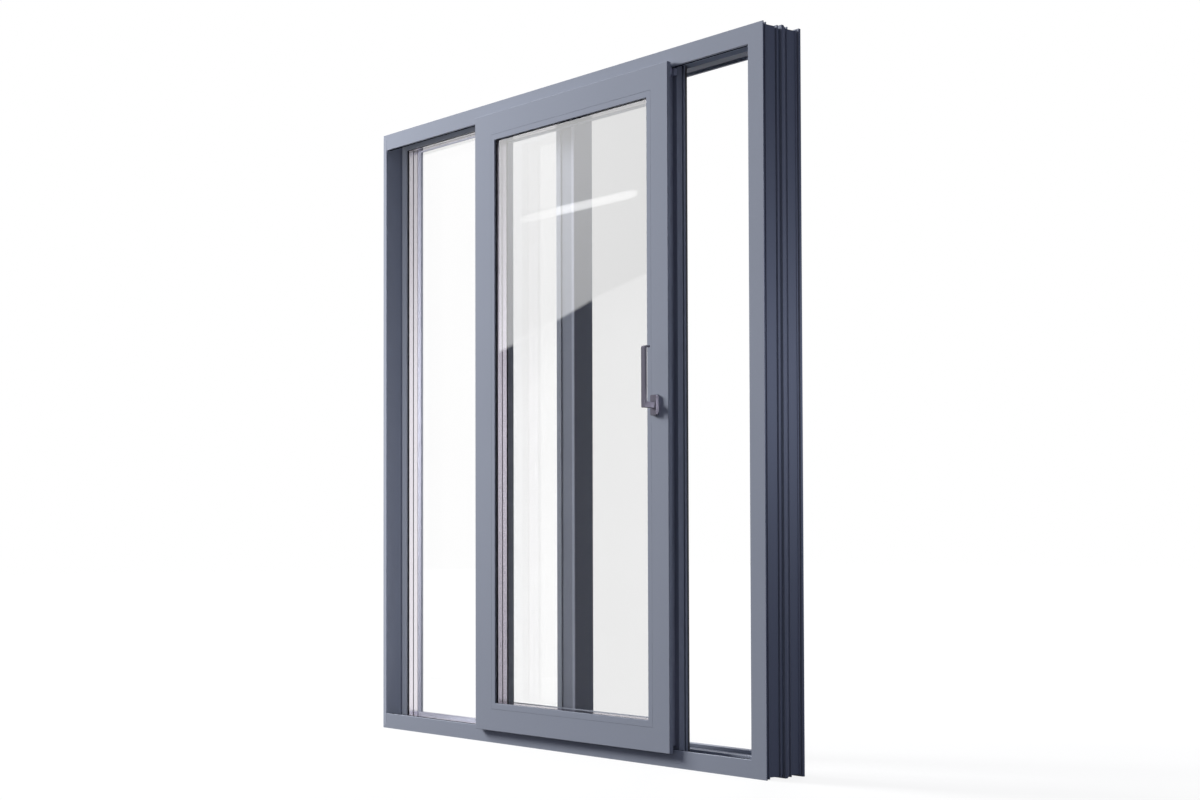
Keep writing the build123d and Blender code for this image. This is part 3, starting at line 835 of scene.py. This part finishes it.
def edge_height(x):
    """The pixel row of the slanted edge at a pixel column."""
    for (x0, y0), (x1, y1) in zip(edge_pixels, edge_pixels[1:]):
        if x <= x1:
            break
    return y0 + (y1 - y0) * (x - x0) / (x1 - x0)


# %% [markdown]
# ## Cards for reflection and view
# A card is a grid whose columns are columns of the photograph and whose rows are counted from the
# slanted edge, up and down. Each of its corners stands on the ray through its pixel and carries the
# light that is seen there, so the edge is sharp where two rows lie close and soft elsewhere. The
# view card has one set of values left of the post's corner and another right of it, because the
# photograph is brighter on the left.

# %% Cards for reflection and view
def make_card(name, columns, rows, place_of, light_of):
    """A grid whose vertices stand on camera rays, with its light as an attribute."""
    bpy.ops.object.select_all(action="DESELECT")
    bpy.ops.mesh.primitive_grid_add(x_subdivisions=len(columns) - 1, y_subdivisions=len(rows) - 1,
                                    size=2)
    card = bpy.context.object
    card.name = name
    light = card.data.attributes.new("light", "FLOAT", "POINT")
    for index, vertex in enumerate(card.data.vertices):
        column = columns[index % len(columns)]
        row = rows[index // len(columns)]
        vertex.co = place_of(column, row)
        light.data[index].value = light_of(column, row)
    paint = bpy.data.materials.new(name)
    paint.use_nodes = True
    tree = paint.node_tree
    tree.nodes.remove(tree.nodes["Principled BSDF"])
    level = tree.nodes.new("ShaderNodeAttribute")
    level.attribute_name = "light"
    shine = add(tree, "ShaderNodeEmission", Color=white, Strength=level.outputs["Fac"])
    tree.links.new(shine.outputs[0], tree.nodes["Material Output"].inputs["Surface"])
    card.data.materials.append(paint)
    card.visible_camera = False
    card.visible_diffuse = False
    card.visible_shadow = False
    card.visible_volume_scatter = False
    return card


card_columns = range(485, 680, 15)
card_rows = [-330, -150, -60, -2, 2, 60, 150, 260, 400, 520]
card_distance = 1.2
post_column = 567.0

mirror_light = dict(zip(card_rows, (3.1, 2.85, 2.5, 2.35, 0.04, 0.05, 0.06, 0.06, 0.06, 0.06)))
mirror_card = make_card("mirror_card", card_columns, card_rows,
                        lambda x, row: mirrored((x, edge_height(x) + row), card_distance),
                        lambda x, row: mirror_light[row])
mirror_card.visible_transmission = False
panes_only = bpy.data.collections.new("panes_only")
for name in ("leaf_panes", "fixed_panes"):
    panes_only.objects.link(nodes[name])
mirror_card.light_linking.receiver_collection = panes_only

view_light_left = dict(zip(card_rows, (0.66, 0.68, 0.74, 0.76, 1.36, 1.42, 1.45, 1.46, 1.46, 1.46)))
view_light_right = dict(zip(card_rows, (0.46, 0.50, 0.56, 0.58, 1.1, 1.13, 1.14, 1.14, 1.14, 1.14)))
view_card = make_card("view_card", card_columns, card_rows,
                      lambda x, row: beyond((x, edge_height(x) + row), card_distance),
                      lambda x, row: (view_light_left if x < post_column else view_light_right)[row])
view_card.visible_glossy = False
print("cards:", mirror_card.name, view_card.name)

# %% [markdown]
# ## Bright streak
# A narrow streak lies across the upper part of the glass, even along its length and soft at its
# edges. It is a strip with a light of its own just before the first card. Behind it a strip of the
# second card is dimmed by the same share, so that the two together come out as bright as they
# should on the glass and on the post behind it.

# %% Bright streak
streak_ends = ((517.0, 220.5), (640.0, 192.0))
streak_half = 5.2
streak_light = 5.35
around_streak = 2.7
dimmed_left = 0.5
dimmed_right = 0.22
streak_end_share = 0.45
streak_end_slope = 6.0
streak_end_fade = 20.0
streak_row = -150
streak_steps = 24
streak_columns = [step / streak_steps for step in range(streak_steps + 1)]
streak_distance = card_distance - 0.01
streak_rows = (-1.0, -0.8, -0.55, -0.25, 0.25, 0.55, 0.8, 1.0)


def streak_pixel(along, across):
    """A pixel of the streak, which is even along its length and narrower at both ends."""
    (x0, y0), (x1, y1) = streak_ends
    thickness = streak_half * min(1.0, streak_end_share + streak_end_slope * min(along, 1.0 - along))
    return (x0 + (x1 - x0) * along, y0 + (y1 - y0) * along + thickness * across)


def streak_share(along, across):
    """How much of the streak's light is at a place: all in its middle and none at its edge."""
    return (1.0 - across ** 4) * min(1.0, streak_end_fade * min(along, 1.0 - along))


def light_of_streak(along, across):
    """The light of the streak, which meets that of the card around it at its edge."""
    return around_streak + (streak_light - around_streak) * streak_share(along, across)


def view_at_streak(along, across):
    """The light of the view card where the streak crosses it, dimmed under the streak itself."""
    left_of_post = streak_pixel(along, 0.0)[0] < post_column
    light, dimming = (view_light_left, dimmed_left) if left_of_post else (view_light_right, dimmed_right)
    return light[streak_row] - dimming * streak_share(along, across)


streak = make_card("lamp_streak", streak_columns, streak_rows,
                   lambda along, across: mirrored(streak_pixel(along, across), streak_distance),
                   light_of_streak)
streak.visible_transmission = False
streak.light_linking.receiver_collection = panes_only
dimmed = make_card("view_behind_streak", streak_columns, streak_rows,
                   lambda along, across: beyond(streak_pixel(along, across), streak_distance),
                   view_at_streak)
dimmed.visible_glossy = False
print("streak from", streak_ends[0], "to", streak_ends[1])

# %% Rendering settings
scene = bpy.context.scene
scene.view_settings.view_transform = "Standard"
scene.cycles.max_bounces = 32
scene.cycles.transmission_bounces = 32
print("view transform:", scene.view_settings.view_transform)
